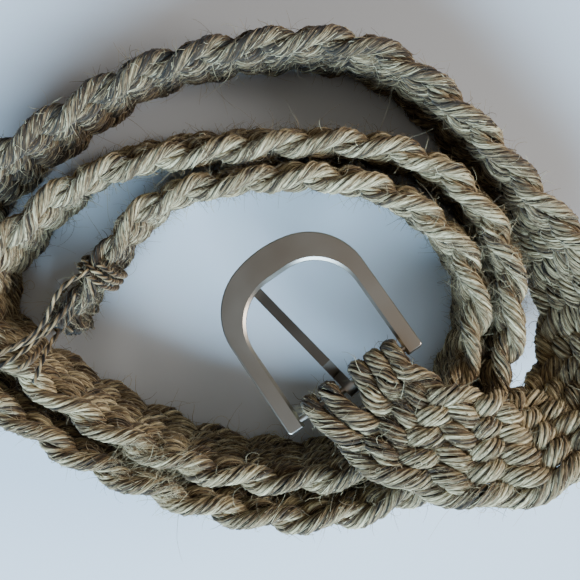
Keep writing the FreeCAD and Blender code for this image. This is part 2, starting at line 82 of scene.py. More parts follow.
# The same points as the CAD route: x, y, z and the lean in degrees. A lean of 0 stands the strap
# on its edge, 90 lays it flat, and a plus sign tips its top edge outwards.
ROUTE = [
    (0.0249, -0.0336, 0.0376, 90), (0.031, -0.0405, 0.041, 82), (0.042, -0.048, 0.0439, 85),
    (0.056, -0.053, 0.0443, 88), (0.069, -0.0545, 0.0449, 78), (0.08, -0.053, 0.043, 67),
    (0.0905, -0.048, 0.0375, 57), (0.099, -0.0395, 0.0308, 49), (0.103, -0.0265, 0.0245, 43),
    (0.103, -0.0125, 0.0208, 37), (0.1, 0.0005, 0.0194, 30), (0.093, 0.011, 0.0188, 22),
    (0.0805, 0.0272, 0.0185, 14), (0.0655, 0.047, 0.0185, 9), (0.052, 0.0615, 0.0185, 7),
    (0.036, 0.0732, 0.0185, 5), (0.021, 0.0772, 0.0185, 3), (0.005, 0.0775, 0.0185, 2),
    (-0.011, 0.0759, 0.0185, 1), (-0.0285, 0.0728, 0.0185, 0), (-0.0463, 0.0675, 0.0185, 0),
    (-0.063, 0.056, 0.0185, 5), (-0.0785, 0.0455, 0.0185, 8), (-0.092, 0.0355, 0.0185, 10),
    (-0.104, 0.022, 0.0185, 12), (-0.11, 0.0055, 0.0185, 12), (-0.1105, -0.0105, 0.0185, 12),
    (-0.1045, -0.0245, 0.0185, 12), (-0.0925, -0.036, 0.0185, 13), (-0.0775, -0.045, 0.0185, 14),
    (-0.0635, -0.0545, 0.0185, 14), (-0.0478, -0.0613, 0.0185, 14), (-0.032, -0.0677, 0.0185, 14),
    (-0.015, -0.0725, 0.0185, 14), (0.002, -0.075, 0.0185, 13), (0.0175, -0.0752, 0.0185, 12),
    (0.0325, -0.072, 0.0185, 11), (0.045, -0.067, 0.0185, 10), (0.0545, -0.061, 0.0185, 9),
    (0.062, -0.052, 0.0185, 8), (0.068, -0.041, 0.0185, 6), (0.0738, -0.0285, 0.0185, 4),
    (0.0774, -0.0135, 0.0185, 2), (0.0776, 0, 0.0185, 1), (0.0747, 0.011, 0.0185, 1),
    (0.0676, 0.0238, 0.0185, 0), (0.0567, 0.0353, 0.0185, 0), (0.042, 0.0422, 0.0185, 0),
    (0.023, 0.0457, 0.0185, -4), (0.005, 0.0464, 0.0185, -8), (-0.0115, 0.0451, 0.0185, -11),
    (-0.0275, 0.0439, 0.0185, -13), (-0.044, 0.0415, 0.0185, -12), (-0.06, 0.036, 0.0185, -8),
    (-0.072, 0.0275, 0.0185, -2), (-0.083, 0.017, 0.0185, 2), (-0.092, 0.006, 0.0185, 4),
    (-0.0965, -0.0055, 0.0185, 5), (-0.0935, -0.016, 0.0185, 7), (-0.0845, -0.0255, 0.0185, 9),
    (-0.0745, -0.0325, 0.0185, 12), (-0.064, -0.0395, 0.0185, 13), (-0.0506, -0.0475, 0.0185, 14),
    (-0.0366, -0.054, 0.0185, 14), (-0.0215, -0.0593, 0.0185, 14), (-0.007, -0.062, 0.0185, 13),
    (0.008, -0.063, 0.0185, 12), (0.022, -0.0619, 0.0185, 10), (0.0335, -0.0583, 0.0185, 9),
    (0.043, -0.053, 0.0185, 7), (0.051, -0.0457, 0.0185, 5), (0.058, -0.0362, 0.0185, 3),
    (0.0636, -0.0242, 0.0185, 1), (0.0666, -0.0115, 0.0185, 0), (0.0658, 0.0005, 0.0185, -1),
    (0.0613, 0.0108, 0.0185, -2), (0.0525, 0.0205, 0.0185, -4), (0.0395, 0.0293, 0.0185, -6),
    (0.0235, 0.0347, 0.0185, -8), (0.005, 0.0357, 0.0185, -8), (-0.0115, 0.0337, 0.0185, -8),
    (-0.0272, 0.0311, 0.0185, -6), (-0.0395, 0.0263, 0.0185, -2), (-0.0475, 0.0185, 0.0185, 2),
    (-0.0535, 0.01, 0.018, 2), (-0.0597, 0.001, 0.0175, 0), (-0.066, -0.009, 0.0169, 0),
    (-0.0725, -0.0175, 0.0156, 0),
]
STRAP_HALF_WIDTH = 0.0185

# The plait, the same as in the CAD model: the ropes' halves are its strands.
ROPE_COUNT = 5
STRAND_COUNT = 2 * ROPE_COUNT
STATIONS_PER_PITCH = 2 * STRAND_COUNT
PLAIT_PITCH = 0.195
PLAIT_REACH = 0.0173
PLAIT_DEPTH = 0.0046
EDGE_DEPTH = 0.8
TIP_REACH = 0.014
TIP_TAPER_START = 0.075
TIP_TAPER_END = 0.030

# The upper half of each rope's fold round the heel bar: distance towards the strap, and height.
HEEL_BAR = np.array([0.0249, -0.0336, 0.0373])
BOW_HEADING = math.radians(124.6)
BAR_PLACES = [-0.0164, -0.0104, -0.0042, 0.0074, 0.0146]
FOLD = [(-0.0036, 0.0032), (0.0026, 0.0039)]


def spline_points(points, steps):
    """Points along the NURBS spline of order 3 that has the points as its control points."""
    curve = bpy.data.curves.new("route", "CURVE")
    curve.dimensions = "3D"
    spline = curve.splines.new("NURBS")
    spline.points.add(len(points) - 1)
    for control, point in zip(spline.points, points):
        control.co = (point[0], point[1], point[2], 1)
    spline.order_u = 3
    spline.use_endpoint_u = True
    spline.resolution_u = steps
    carrier = bpy.data.objects.new("route", curve)
    mesh = bpy.data.meshes.new_from_object(carrier)
    found = np.zeros(len(mesh.vertices) * 3)
    mesh.vertices.foreach_get("co", found)
    bpy.data.objects.remove(carrier)
    bpy.data.curves.remove(curve)
    bpy.data.meshes.remove(mesh)
    return found.reshape(-1, 3)


def unit(vectors):
    """Vectors of length 1, for one vector or a row of them."""
    return vectors / np.maximum(np.linalg.norm(vectors, axis=-1, keepdims=True), 1e-12)


def distances(points):
    """How far along its line each point is."""
    steps = np.linalg.norm(np.diff(points, axis=0), axis=1)
    return np.concatenate([[0.0], np.cumsum(steps)])


def at_distances(points, values, wanted):
    """Values given at the points, read off at other distances along their line."""
    along = distances(points)
    return np.stack([np.interp(wanted, along, values[:, k]) for k in range(3)], axis=1)


class Strap:
    """The strap's middle line, measured along its length, with its cross directions."""

    STEPS = 24

    def __init__(self):
        middles = [np.array(p[:3]) for p in ROUTE]
        edges = []
        for i, middle in enumerate(middles):
            along = middles[min(i + 1, len(middles) - 1)] - middles[max(i - 1, 0)]
            outward = unit(np.array([along[1], -along[0], 0.0]))
            lean = math.radians(ROUTE[i][3])
            across = outward * math.sin(lean) + np.array([0, 0, math.cos(lean)])
            edges.append(middle + across * STRAP_HALF_WIDTH)
        self.middles = spline_points(middles, self.STEPS)
        self.edges = spline_points(edges, self.STEPS)
        self.length = distances(self.middles)[-1]

    def at(self, distance):
        """Middle, across (towards the top edge) and through (the strap's face) at a distance."""
        step = 0.0004
        places = np.array([distance - step, distance, distance + step])
        before, middle, after = at_distances(self.middles, self.middles, places)
        edge = at_distances(self.middles, self.edges, places)[1]
        along = unit(after - before)
        across = edge - middle
        across = unit(across - along * np.dot(across, along))
        return middle, across, np.cross(across, along)


strap = Strap()


def weave_side(phase):
    """From -1 at the bottom edge to 1 at the top edge and back, over one pitch."""
    if phase <= STRAND_COUNT:
        return -1 + 2 * phase / STRAND_COUNT
    return 3 - 2 * phase / STRAND_COUNT


def weave_depth(phase):
    """Over (+) and under (-) in turn, 0 at the strap's two edges."""
    if phase % STRAND_COUNT == 0:
        return 0
    depth = EDGE_DEPTH if phase % STRAND_COUNT in (1, STRAND_COUNT - 1) else 1
    going_up = phase < STRAND_COUNT
    return -depth if (phase % 2 == 1) == going_up else depth


def reach_at(distance):
    """How far the plait reaches to each side: it narrows towards the free end."""
    left = strap.length - distance
    share = (left - TIP_TAPER_END) / (TIP_TAPER_START - TIP_TAPER_END)
    return TIP_REACH + (PLAIT_REACH - TIP_REACH) * max(0.0, min(1.0, share))


def plait_route(first_phase):
    """One strand's control points from its phase at the first station, and the strap's face there."""
    step = PLAIT_PITCH / STATIONS_PER_PITCH
    points = []
    faces = []
    station = 1
    while station * step < strap.length:
        phase = (first_phase + station - 1) % STATIONS_PER_PITCH
        middle, across, through = strap.at(station * step)
        side = weave_side(phase) * reach_at(station * step)
        points.append(middle + across * side + through * weave_depth(phase) * PLAIT_DEPTH)
        faces.append(through)
        station += 1
    return points, faces


def fold_route(place):
    """A rope's fold round the bar, from its under side to its upper side."""
    toward_strap = np.array([-math.cos(BOW_HEADING), -math.sin(BOW_HEADING), 0.0])
    toward_top_edge = np.array([toward_strap[1], -toward_strap[0], 0.0])
    up = np.array([0.0, 0.0, 1.0])
    points = []
    faces = []
    for side, corners in ((-1, FOLD[::-1]), (1, FOLD)):
        for forward, height in corners:
            out = toward_strap * forward + up * height * side
            points.append(HEEL_BAR + toward_top_edge * place + out)
            faces.append(unit(toward_strap * min(forward, 0.0) + up * height * side))
    return points, faces


def rope_route(number):
    """A rope's control points, and the way its flat side faces at each of them."""
    phase = 2 * number + 1
    under, under_faces = plait_route(phase)
    over, over_faces = plait_route(STATIONS_PER_PITCH - phase)
    fold, fold_faces = fold_route(BAR_PLACES[number])
    points = under[::-1] + fold + over
    return points, [-face for face in under_faces[::-1]] + fold_faces + over_faces


# ---------------------------------------------------------------- mesh helpers

FLOOR_CLEARANCE = 0.0003

# Each tube's fibre pattern starts this much further on than the last one's.
FIBRE_PATTERN_SHIFT = 0.37


def tubes_mesh(name, paths, radii, outward, sides, tint):
    """Closed round tubes, one per path, as one mesh with its fibre and tint attributes.

    paths and outward are (tube, point, xyz), radii (tube, point) and tint (tube, point, 3). A
    tint holds a shade, how bare the tube lies (1 for fully, 0 for buried), which the jute material
    turns into painted shade in the crevices, and a spare value.
    """
    paths = np.asarray(paths, float)
    count, length, _ = paths.shape
    along = unit(np.gradient(paths, axis=1))
    side_1 = unit(outward - along * np.sum(outward * along, axis=2, keepdims=True))
    side_2 = np.cross(along, side_1)
    turn = 2 * np.pi * np.arange(sides) / sides
    rings = (
        side_1[:, :, None, :] * np.cos(turn)[None, None, :, None]
        + side_2[:, :, None, :] * np.sin(turn)[None, None, :, None]
    )
    corners = paths[:, :, None, :] + rings * radii[:, :, None, None]
    corners[..., 2] = np.maximum(corners[..., 2], FLOOR_CLEARANCE)
    vertices = corners.reshape(-1, 3)
    index = np.arange(count * length * sides).reshape(count, length, sides)
    after = np.roll(index, -1, axis=2)
    quads = np.stack(
        [index[:, :-1], after[:, :-1], after[:, 1:], index[:, 1:]], axis=-1
    ).reshape(-1, 4)
    caps = np.concatenate([index[:, 0, ::-1], index[:, -1, :]]).reshape(-1, sides)
    mesh = bpy.data.meshes.new(name)
    mesh.vertices.add(len(vertices))
    mesh.vertices.foreach_set("co", vertices.ravel())
    loops = np.concatenate([quads.ravel(), caps.ravel()])
    mesh.loops.add(len(loops))
    mesh.loops.foreach_set("vertex_index", loops)
    starts = np.concatenate(
        [np.arange(len(quads)) * 4, len(quads) * 4 + np.arange(len(caps)) * sides]
    )
    mesh.polygons.add(len(starts))
    mesh.polygons.foreach_set("loop_start", starts)
    mesh.polygons.foreach_set("use_smooth", np.ones(len(starts), bool))
    mesh.update(calc_edges=True)
    steps = np.linalg.norm(np.diff(paths, axis=1), axis=2)
    travelled = np.concatenate([np.zeros((count, 1)), np.cumsum(steps, axis=1)], axis=1)
    travelled += np.arange(count)[:, None] * FIBRE_PATTERN_SHIFT
    fibre = np.zeros((count, length, sides, 3))
    fibre[..., 0] = np.cos(turn) * radii[:, :, None]
    fibre[..., 1] = np.sin(turn) * radii[:, :, None]
    fibre[..., 2] = travelled[:, :, None]
    layer = mesh.attributes.new("fibre", "FLOAT_VECTOR", "POINT")
    layer.data.foreach_set("vector", fibre.ravel())
    shade = np.repeat(np.asarray(tint, float)[:, :, None, :], sides, axis=2)
    # The inner side of each tube counts as less bare, so it gets painted shade.
    shade[..., 1] = (0.5 + 0.5 * np.cos(turn)) * shade[..., 1]
    layer = mesh.attributes.new("tint", "FLOAT_VECTOR", "POINT")
    layer.data.foreach_set("vector", shade.ravel())
    return mesh


def add_piece(name, mesh, material, body):
    """A mesh as a piece that rides with a body, with its material."""
    piece = bpy.data.objects.new(name, mesh)
    scene.collection.objects.link(piece)
    piece.data.materials.append(material)
    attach(piece, body)
    return piece


def wander(rng, rows, length, spacing, size):
    """Smooth random values, one row each, that change over about `spacing` points."""
    knots = max(4, int(length / spacing) + 3)
    values = rng.uniform(-size, size, (rows, knots))
    places = np.linspace(0, knots - 1.001, length)
    low = places.astype(int)
    share = places - low
    share = share * share * (3 - 2 * share)
    return values[:, low] * (1 - share) + values[:, low + 1] * share


# ---------------------------------------------------------------- materials


def new_material(name):
    """A material with its nodes, its links and its main shader."""
    material = bpy.data.materials.new(name)
    material.use_nodes = True
    nodes = material.node_tree.nodes
    return material, nodes, material.node_tree.links, nodes["Principled BSDF"]


def node(nodes, kind, **settings):
    """A new node with some of its settings changed."""
    made = nodes.new(kind)
    for key, value in settings.items():
        setattr(made, key, value)
    return made


def ramp(nodes, stops):
    """A colour ramp with the given (place, colour) stops."""
    made = nodes.new("ShaderNodeValToRGB")
    elements = made.color_ramp.elements
    while len(elements) < len(stops):
        elements.new(0.5)
    for element, (place, colour) in zip(elements, stops):
        element.position = place
        element.color = (*colour, 1)
    return made


# How much the slow patches of shade count beside the yarn's own shade and its streaks.
PATCH_SHARE = 0.7


def jute_material(name, stops, streak=0.75, painted_shade_min=0.06):
    """Hairy jute: each yarn its own shade, streaked along its fibres, with painted shade in the
    crevices.
    """
    material, nodes, links, shader = new_material(name)
    fibre = node(nodes, "ShaderNodeAttribute", attribute_name="fibre")
    tint = node(nodes, "ShaderNodeAttribute", attribute_name="tint")
    parts = nodes.new("ShaderNodeSeparateXYZ")
    links.new(tint.outputs["Vector"], parts.inputs[0])

    stretched = nodes.new("ShaderNodeMapping")
    stretched.inputs["Scale"].default_value = (3200, 3200, 260)
    links.new(fibre.outputs["Vector"], stretched.inputs["Vector"])
    streaks = nodes.new("ShaderNodeTexNoise")
    streaks.inputs["Scale"].default_value = 1.0
    streaks.inputs["Detail"].default_value = 4.0
    streaks.inputs["Roughness"].default_value = 0.65
    links.new(stretched.outputs["Vector"], streaks.inputs["Vector"])
    contrast = nodes.new("ShaderNodeMapRange")
    contrast.inputs["From Min"].default_value = 0.36
    contrast.inputs["From Max"].default_value = 0.64
    links.new(streaks.outputs["Fac"], contrast.inputs["Value"])

    slow = nodes.new("ShaderNodeMapping")
    slow.inputs["Scale"].default_value = (300, 300, 60)
    links.new(fibre.outputs["Vector"], slow.inputs["Vector"])
    patches = nodes.new("ShaderNodeTexNoise")
    patches.inputs["Scale"].default_value = 1.0
    patches.inputs["Detail"].default_value = 2.0
    links.new(slow.outputs["Vector"], patches.inputs["Vector"])

    blend = node(nodes, "ShaderNodeMath", operation="MULTIPLY_ADD")
    blend.inputs[1].default_value = streak
    links.new(contrast.outputs["Result"], blend.inputs[0])
    links.new(parts.outputs["X"], blend.inputs[2])
    total = node(nodes, "ShaderNodeMath", operation="MULTIPLY_ADD")
    total.inputs[1].default_value = PATCH_SHARE
    links.new(patches.outputs["Fac"], total.inputs[0])
    links.new(blend.outputs[0], total.inputs[2])
    centred = node(nodes, "ShaderNodeMath", operation="SUBTRACT")
    centred.inputs[1].default_value = 0.5 * (streak + PATCH_SHARE)
    links.new(total.outputs[0], centred.inputs[0])
    colours = ramp(nodes, stops)
    links.new(centred.outputs[0], colours.inputs["Fac"])

    # Painted shade in the crevices between yarns: the more buried a side of a tube lies, the darker
    # its colour is painted, down to the given least share.
    depth = node(nodes, "ShaderNodeMapRange", interpolation_type="SMOOTHSTEP")
    depth.inputs["From Min"].default_value = 0.42
    depth.inputs["From Max"].default_value = 1.0
    depth.inputs["To Min"].default_value = painted_shade_min
    depth.inputs["To Max"].default_value = 1.0
    links.new(parts.outputs["Y"], depth.inputs["Value"])
    shaded = node(nodes, "ShaderNodeMix", data_type="RGBA", blend_type="MULTIPLY")
    shaded.inputs["Factor"].default_value = 1.0
    links.new(colours.outputs["Color"], shaded.inputs["A"])
    links.new(depth.outputs["Result"], shaded.inputs["B"])
    links.new(shaded.outputs["Result"], shader.inputs["Base Color"])

    bump = nodes.new("ShaderNodeBump")
    bump.inputs["Strength"].default_value = 0.9
    bump.inputs["Distance"].default_value = 0.0003
    links.new(streaks.outputs["Fac"], bump.inputs["Height"])
    links.new(bump.outputs["Normal"], shader.inputs["Normal"])
    shader.inputs["Roughness"].default_value = 0.78
    shader.inputs["Specular IOR Level"].default_value = 0.3
    shader.inputs["Sheen Weight"].default_value = 0.15
    shader.inputs["Sheen Roughness"].default_value = 0.5
    return material


# Rope colours from the darkest shade to the palest; twine is the same jute, browner.
ROPE_SHADES = [
    (0.0, (0.030, 0.020, 0.012)),
    (0.2, (0.115, 0.072, 0.036)),
    (0.4, (0.26, 0.185, 0.100)),
    (0.6, (0.40, 0.322, 0.185)),
    (0.8, (0.62, 0.53, 0.325)),
    (1.0, (0.92, 0.80, 0.52)),
]
rope_material = jute_material("jute_rope", ROPE_SHADES)
hair_material = jute_material("jute_fibre", ROPE_SHADES, streak=0.2, painted_shade_min=0.6)
TWINE_SHADES = [(place, (r * 0.7, g * 0.62, b * 0.55)) for place, (r, g, b) in ROPE_SHADES]
twine_material = jute_material("jute_twine", TWINE_SHADES)


# ---------------------------------------------------------------- the five ropes

SPLINE_STEPS = 12
RING_SPACING = 0.0016
ROPE_WIDTH = 0.0068
ROPE_THICKNESS = 0.0055
YARNS_PER_ROPE = 9
YARN_RADIUS = 0.00081
YARN_SIDES = 5
ROPE_LAY = 0.020

# At the heel bar the ropes are pressed thin, and at the free end they thin out.
BAR_WIDTH_SHARE = 0.84
BAR_THICKNESS_SHARE = 0.72
BAR_PRESSED_LENGTH = 0.007
BAR_EASING_LENGTH = 0.016
TIP_SHARE = 0.75
TIP_THIN_LENGTH = 0.012
TIP_EASING_LENGTH = 0.11


def eased(values):
    """0 below 0, 1 above 1 and smooth between."""
    share = np.clip(values, 0, 1)
    return share * share * (3 - 2 * share)


class Rope:
    """One rope's line with its face and width directions, evenly spaced."""

    def __init__(self, number):
        points, faces = rope_route(number)
        middle = spline_points(points, SPLINE_STEPS)
        offset = [p + f * STRAP_HALF_WIDTH for p, f in zip(points, faces)]
        face = spline_points(offset, SPLINE_STEPS) - middle
        self.length = distances(middle)[-1]
        self.along = np.linspace(0, self.length, int(self.length / RING_SPACING))
        self.line = at_distances(middle, middle, self.along)
        tangent = unit(np.gradient(self.line, axis=0))
        face = at_distances(middle, face, self.along)
        face -= tangent * np.sum(face * tangent, axis=1, keepdims=True)
        self.face = unit(face)
        self.wide = np.cross(tangent, self.face)
        left = np.minimum(self.along, self.length - self.along)
        from_bar = np.abs(self.along - self.length / 2)
        bar = eased((from_bar - BAR_PRESSED_LENGTH) / BAR_EASING_LENGTH)
        tip = eased((left - TIP_THIN_LENGTH) / TIP_EASING_LENGTH)
        tip = TIP_SHARE + (1 - TIP_SHARE) * tip
        self.width = ROPE_WIDTH * (BAR_WIDTH_SHARE + (1 - BAR_WIDTH_SHARE) * bar) * tip
        self.thickness = (
            ROPE_THICKNESS * (BAR_THICKNESS_SHARE + (1 - BAR_THICKNESS_SHARE) * bar) * tip
        )


# How unevenly the yarns lie and how their shades vary: over about how many rings each value
# wanders, and how far it goes to each side.
LAY_WANDER = (60, 0.5)
RADIUS_WANDER = (9, 0.18)
REACH_WANDER = (7, 0.15)
ANGLE_WANDER = (12, 0.17)
SHADE_WANDER = (45, 0.22)
YARN_SHADES = (0.20, 0.66)
LARGEST_YARN_SHARE = 0.25

# Past the binding the ropes are darker, partly a browner colour and partly painted shade, and at
# their very ends the yarns come apart.
BROWN_AND_SHADED_END = 0.35
BROWN_AND_SHADED_END_LENGTH = 0.045
BROWN_AND_SHADED_EASING_LENGTH = 0.02
FRAYED_LENGTH = 0.030
FRAYED_DARKER = 0.25
FRAYED_REACH = (-0.2, 1.0)

# Painted light and shade along the strap: how much paler or darker the ropes are painted where they
# stand better lit or in shade, from the buckle to the free end.
PAINTED_LIGHT_ALONG_STRAP = [
    (0.00, -0.24), (0.03, -0.07), (0.06, 0.15), (0.11, 0.12), (0.18, -0.05),
    (0.25, -0.30), (0.42, -0.28), (0.55, -0.03), (0.72, 0.06), (0.85, 0.05),
    (1.00, -0.02), (1.15, 0.08), (1.28, 0.04),
]


def rope_yarns(rope, rng):
    """The yarns' lines, radii, outward directions and tints, for one rope."""
    count = len(rope.along)
    yarn_radius = YARN_RADIUS * rope.width / ROPE_WIDTH
    yarn_radius = np.minimum(yarn_radius, rope.thickness * LARGEST_YARN_SHARE)
    half_wide = rope.width / 2 - yarn_radius
    half_deep = rope.thickness / 2 - yarn_radius
    left = np.minimum(rope.along, rope.length - rope.along)
    frayed = 1 - eased(left / FRAYED_LENGTH)
    strap_place = np.abs(rope.along * 2 / rope.length - 1) * strap.length
    # Painted light and shade along the strap, then the darker end past the binding, partly brown and
    # partly painted shade.
    painted_light_along_strap = np.interp(strap_place, *zip(*PAINTED_LIGHT_ALONG_STRAP))
    into_brown_and_shaded = strap_place - strap.length + BROWN_AND_SHADED_END_LENGTH
    painted_light_along_strap -= BROWN_AND_SHADED_END * eased(into_brown_and_shaded / BROWN_AND_SHADED_EASING_LENGTH)
    lay_wander = wander(rng, 1, count, *LAY_WANDER)[0]
    twist = 2 * np.pi * rope.along / ROPE_LAY + lay_wander
    radius_wander = wander(rng, YARNS_PER_ROPE, count, *RADIUS_WANDER)
    reach_wander = wander(rng, YARNS_PER_ROPE, count, *REACH_WANDER)
    paths = []
    outward = []
    radii = []
    tints = []
    for k in range(YARNS_PER_ROPE):
        angle = twist + 2 * np.pi * k / YARNS_PER_ROPE + wander(rng, 1, count, *ANGLE_WANDER)[0]
        out = (
            rope.wide * (np.cos(angle) * half_wide)[:, None]
            + rope.face * (np.sin(angle) * half_deep)[:, None]
        )
        loose = 1 + reach_wander[k] + frayed * rng.uniform(*FRAYED_REACH)
        paths.append(rope.line + out * loose[:, None])
        # Outward from an oval is steeper than the line from its middle.
        facing = (
            rope.wide * (np.cos(angle) / half_wide)[:, None]
            + rope.face * (np.sin(angle) / half_deep)[:, None]
        )
        outward.append(unit(facing))
        radii.append(yarn_radius * (1 + radius_wander[k]))
        shade = rng.uniform(*YARN_SHADES) + wander(rng, 1, count, *SHADE_WANDER)[0]
        shade = shade + painted_light_along_strap - FRAYED_DARKER * frayed
        tints.append(np.stack([shade, np.ones(count), np.ones(count)], axis=1))
    return np.array(paths), np.array(radii), np.array(outward), np.array(tints)


# A core fills each rope behind the gaps between its yarns, coloured dark as painted shade in those
# gaps.
CORE_SHARE = 0.55
CORE_PAINTED_SHADE_TONE = 0.4
CORE_PAINTED_SHADE_BARENESS = 0.25
ROPE_SEED = 100

yarn_sets = []
for number in range(ROPE_COUNT):
    rope = Rope(number)
    rng = np.random.default_rng(ROPE_SEED + number)
    paths, radii, outward, tints = rope_yarns(rope, rng)
    yarn_sets.append((paths, radii, outward))
    # The core's tint is dark and little bare: painted shade behind the gaps between the yarns.
    core_painted_shade_tint = tints[:1] * np.array([CORE_PAINTED_SHADE_TONE, CORE_PAINTED_SHADE_BARENESS, 1])
    mesh = tubes_mesh(
        "rope_%d_yarns" % (number + 1),
        np.concatenate([paths, rope.line[None]]),
        np.concatenate([radii, (rope.thickness * CORE_SHARE / 2)[None]]),
        np.concatenate([outward, rope.face[None]]),
        YARN_SIDES,
        np.concatenate([tints, core_painted_shade_tint]),
    )
    piece = add_piece(mesh.name, mesh, rope_material, "strap")
    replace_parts(piece, "rope_%d" % (number + 1))


# ---------------------------------------------------------------- loose fibres


def turned(vectors, axes, angles):
    """Vectors turned about unit axes, row by row."""
    cos = np.cos(angles)[:, None]
    sin = np.sin(angles)[:, None]
    lengthways = np.sum(vectors * axes, axis=1, keepdims=True)
    return vectors * cos + np.cross(axes, vectors) * sin + axes * lengthways * (1 - cos)


def yarn_rings():
    """Every yarn ring's middle, outward side, heading and radius, over all the ropes."""
    middles = []
    outwards = []
    headings = []
    sizes = []
    for paths, radii, outward in yarn_sets:
        middles.append(paths.reshape(-1, 3))
        outwards.append(outward.reshape(-1, 3))
        headings.append(unit(np.gradient(paths, axis=1)).reshape(-1, 3))
        sizes.append(radii.reshape(-1))
    return [np.concatenate(part) for part in (middles, outwards, headings, sizes)]


RING_MIDDLES, RING_OUTWARDS, RING_HEADINGS, RING_SIZES = yarn_rings()

# A hair starts inside its yarn, and none rises past the ceiling.
HAIR_SIDES = 3
HAIR_ROOT_SHARE = 0.8
HAIR_LEAST_RISE = 0.15
HAIR_UNEVENNESS = 0.35
HAIR_TIP_SHARE = 0.35
HAIR_THICKNESSES = (0.6, 1.3)
HAIR_FLOOR = FLOOR_CLEARANCE * 1.5
HAIR_CEILING = cad_high[2] + 0.008


def rings_near(place, reach):
    """Numbers of the yarn rings within reach of a place."""
    return np.flatnonzero(np.linalg.norm(RING_MIDDLES - np.array(place), axis=1) < reach)


def fibre_lines(rng, rings, shortest, longest, points, lift, curl):
    """Curving hairs, one from each of the given yarn rings."""
    total = len(rings)
    facing = RING_OUTWARDS[rings]
    place = RING_MIDDLES[rings] + facing * RING_SIZES[rings, None] * HAIR_ROOT_SHARE
    sign = rng.choice([-1.0, 1.0], total)[:, None]
    rise = rng.uniform(HAIR_LEAST_RISE, lift, total)[:, None]
    spread = rng.normal(0, HAIR_UNEVENNESS, (total, 3))
    heading = unit(RING_HEADINGS[rings] * sign + facing * rise + spread)
    length = shortest * (longest / shortest) ** rng.uniform(0, 1, total)
    axis = unit(rng.normal(0, 1, (total, 3)))
    bend = rng.normal(0, curl, total)
    lines = [place]
    for _ in range(points - 1):
        heading = turned(heading, axis, bend / (points - 1))
        axis = unit(axis + rng.normal(0, HAIR_UNEVENNESS, (total, 3)))
        place = place + heading * (length / (points - 1))[:, None]
        lines.append(place)
    lines = np.stack(lines, axis=1)
    lines[..., 2] = np.clip(lines[..., 2], HAIR_FLOOR, HAIR_CEILING)
    return lines, facing


# The fibres that lie on the yarns: their lengths are in rings, their angles are round the yarn
# from its outer side, and their shades follow a beta distribution, mostly dark or pale.
LYING_PER_ROPE = 7500
LYING_SEED = 300
LYING_RINGS = (3.0, 9.0)
LYING_END_MARGIN = 12
LYING_ANGLE = 1.7
LYING_DRIFT = 0.6
LYING_GAP = 0.00003
LYING_END_LIFT = 0.00022
LYING_RADIUS = 0.00013
LYING_THICKNESSES = (0.5, 1.5)
LYING_TAPER = np.array([0.45, 1, 1, 1, 0.45])
LYING_POINTS = len(LYING_TAPER)
LYING_SHADES = (0.7, 0.8)


def lying_fibres(rng, paths, radii, outward, count):
    """Fibres that follow the yarns of one rope closely, with their ends just lifted off."""
    yarn = rng.integers(0, len(paths), count)
    length = rng.uniform(*LYING_RINGS, count)
    start = rng.uniform(1, paths.shape[1] - LYING_END_MARGIN, count)
    ring = start[:, None] + length[:, None] * np.linspace(0, 1, LYING_POINTS)[None]
    low = ring.astype(int)
    share = (ring - low)[..., None]

    def read(values):
        rows = yarn[:, None]
        return values[rows, low] * (1 - share) + values[rows, low + 1] * share

    centre = read(paths)
    facing = unit(read(outward))
    radius = read(radii[..., None])
    along = unit(np.gradient(centre, axis=1))
    side = np.cross(along, facing)
    from_middle = np.linspace(-1, 1, LYING_POINTS)[None]
    angle = rng.uniform(-LYING_ANGLE, LYING_ANGLE, (count, 1))
    angle = angle + rng.normal(0, LYING_DRIFT, (count, 1)) * from_middle
    out = facing * np.cos(angle)[..., None] + side * np.sin(angle)[..., None]
    ends = np.abs(from_middle)[..., None] ** 3
    lift = LYING_GAP + ends * rng.exponential(LYING_END_LIFT, (count, 1, 1))
    return centre + out * (radius + lift), out


def add_lying_fibres(number):
    rng = np.random.default_rng(LYING_SEED + number)
    paths, radii, outward = yarn_sets[number]
    lines, out = lying_fibres(rng, paths, radii, outward, LYING_PER_ROPE)
    thick = LYING_RADIUS * rng.uniform(*LYING_THICKNESSES, (LYING_PER_ROPE, 1)) * LYING_TAPER
    tint = np.zeros((LYING_PER_ROPE, LYING_POINTS, 3))
    tint[..., 0] = rng.beta(*LYING_SHADES, (LYING_PER_ROPE, 1))
    tint[..., 1] = 1.0
    mesh = tubes_mesh("rope_%d_fibres" % (number + 1), lines, thick, out, HAIR_SIDES, tint)
    return add_piece(mesh.name, mesh, hair_material, "strap")


for number in range(ROPE_COUNT):
    add_lying_fibres(number)


def add_fibres(name, seed, rings, shortest, longest, points, lift, curl, radius, shades):
    """A piece of loose hairs, one from each of the given yarn rings."""
    rng = np.random.default_rng(seed)
    lines, facing = fibre_lines(rng, rings, shortest, longest, points, lift, curl)
    total = len(lines)
    taper = np.linspace(1, HAIR_TIP_SHARE, points)[None]
    radii = radius * rng.uniform(*HAIR_THICKNESSES, (total, 1)) * taper
    tint = np.ones((total, points, 3))
    tint[..., 0] = rng.uniform(*shades, (total, 1))
    side = np.repeat(facing[:, None], points, axis=1)
    mesh = tubes_mesh(name, lines, radii, side, HAIR_SIDES, tint)
    return add_piece(name, mesh, hair_material, "strap")


def rings_anywhere(seed, count):
    """Numbers of yarn rings picked evenly over all the ropes."""
    return np.random.default_rng(seed).integers(0, len(RING_MIDDLES), count)


